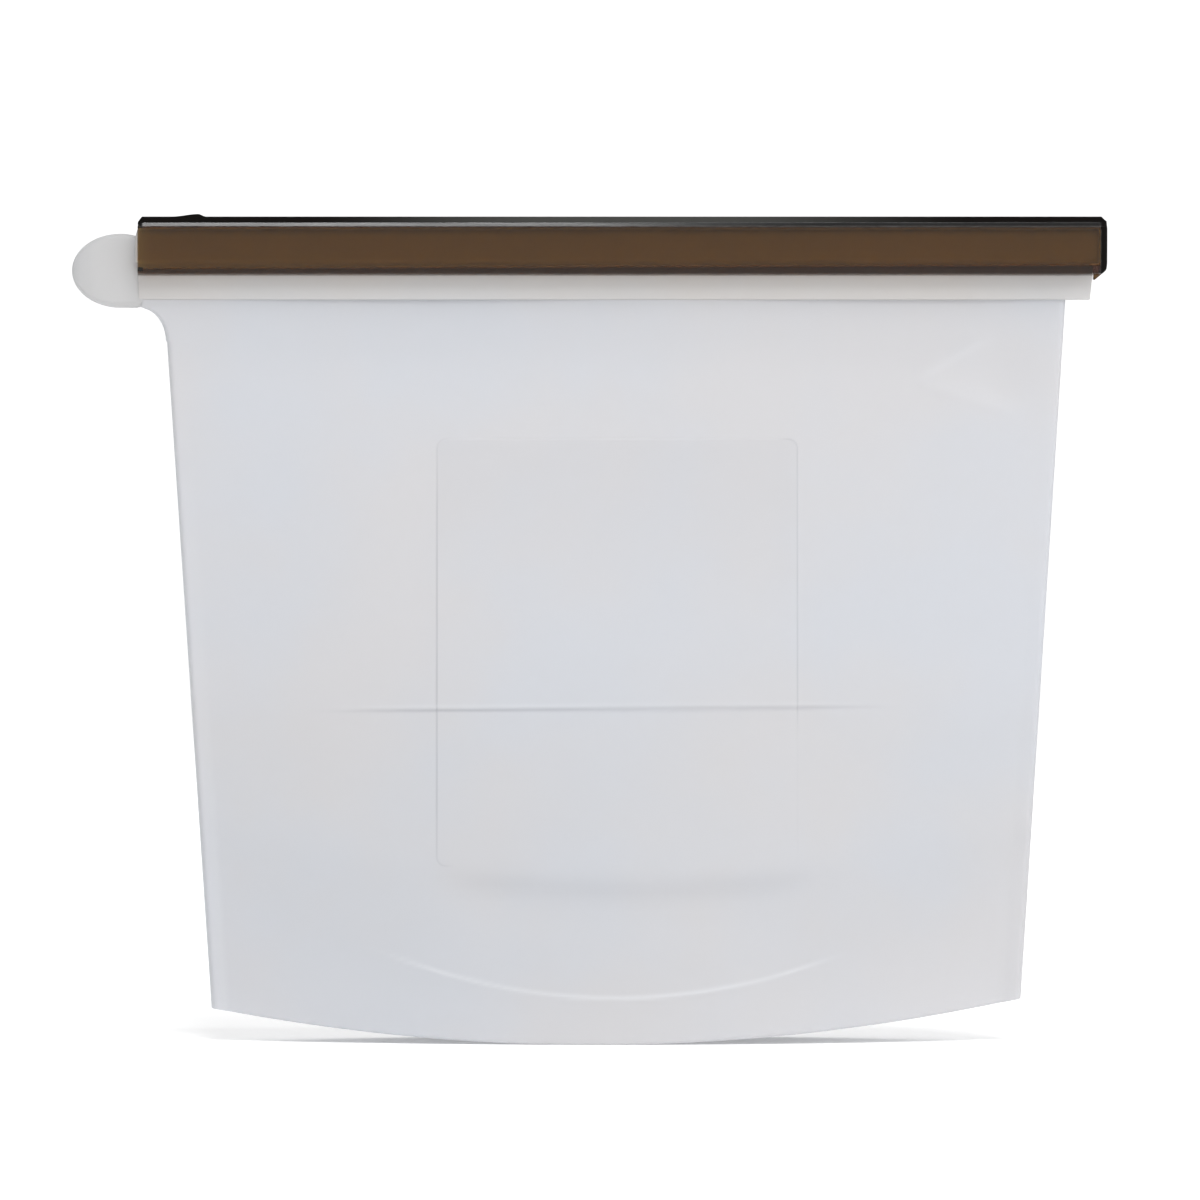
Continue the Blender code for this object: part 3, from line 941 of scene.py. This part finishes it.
def build_floor():
    """A flat round floor, metres wide, whose rim curves up out of sight."""
    flat, rise, rim_turn, rim_steps = 5.0, 2.0, math.radians(65), 12
    profile = [(0.25, 0.0), (1.0, 0.0), (2.5, 0.0)]
    for k in range(rim_steps + 1):
        turn = rim_turn * k / rim_steps
        profile.append((flat + rise * math.sin(turn), rise - rise * math.cos(turn)))
    around = 72
    turns = [2 * math.pi * k / around for k in range(around)]
    mesh = bmesh.new()
    rings = []
    for r, z in profile:
        rings.append([mesh.verts.new((r * math.cos(t), r * math.sin(t), z)) for t in turns])
    for near, far in zip(rings, rings[1:]):
        skin_between(mesh, near, far)
    mesh.faces.new(rings[0])
    for face in mesh.faces:
        face.normal_update()
        if face.normal.z < 0:
            face.normal_flip()
    data = bpy.data.meshes.new("pale_floor")
    mesh.to_mesh(data)
    mesh.free()
    data.shade_smooth()
    return new_object("pale_floor", data)


def paper():
    """White paper that glows a little more with distance, so that the far rim stays white."""
    material, start = new_material("pale_paper")
    place = start.node("ShaderNodeTexCoord", output=3)
    mottle = start.node("ShaderNodeTexNoise", {}, {"Vector": place, "Scale": 3.0, "Detail": 2.0})
    colour = mottle.blend((0.93, 0.93, 0.93, 1), (0.95, 0.95, 0.95, 1))
    away = start.node("ShaderNodeVectorMath", {"operation": "LENGTH"}, {0: place}, output=1)
    glow = away.smooth(0.3, 3.0).blend((0.38, 0.38, 0.38, 1), (0.9, 0.9, 0.9, 1))
    surface = start.node(
        "ShaderNodeBsdfPrincipled",
        {},
        {
            "Base Color": colour,
            "Roughness": 0.9,
            "Specular IOR Level": 0.1,
            "Emission Color": glow,
            "Emission Strength": 0.65,
        },
    )
    surface_to_output(material, surface)
    return material


floor = build_floor()
floor.data.materials.append(paper())


def area_light(name, place, aim, size, power):
    lamp = bpy.data.lights.new(name, "AREA")
    lamp.shape = "RECTANGLE"
    lamp.size, lamp.size_y = size
    lamp.energy = power
    thing = new_object(name, lamp)
    thing.location = place
    thing.rotation_euler = (Vector(aim) - Vector(place)).to_track_quat("-Z", "Y").to_euler()


bag_middle = (0, 0, 0.07)
area_light("key_above", (0.33, -0.99, 1.55), bag_middle, (0.9, 0.9), 19.0)
area_light("fill_right", (1.1, -0.7, 0.35), bag_middle, (0.8, 0.8), 4.0)
area_light("back_soft", (-0.5, 1.1, 0.9), bag_middle, (0.9, 0.9), 6.0)
area_light("edge_left", (-0.06, -0.083, 0.587), (-0.06, -0.004, 0.143), (0.13, 0.03), 0.34)

world = bpy.data.worlds.new("studio")
world.use_nodes = True
background = world.node_tree.nodes["Background"]
background.inputs["Color"].default_value = (1, 1, 1, 1)
background.inputs["Strength"].default_value = 0.48
bpy.context.scene.world = world
bpy.context.scene.view_settings.view_transform = "Standard"

camera_data = bpy.data.cameras.new("camera")
camera_data.lens = 250
camera_data.sensor_width = 36
camera_data.clip_start = 0.01
camera_object = new_object("camera", camera_data)
look_at = Vector((0.0019, 0, 0.0773))
elevation = math.radians(1.0)
view_width, front_face = 0.210, 0.003
distance = front_face + view_width * camera_data.lens / camera_data.sensor_width
camera_object.location = look_at + Vector((0, -math.cos(elevation), math.sin(elevation))) * distance
camera_object.rotation_euler = (math.pi / 2 - elevation, 0, 0)
bpy.context.scene.camera = camera_object
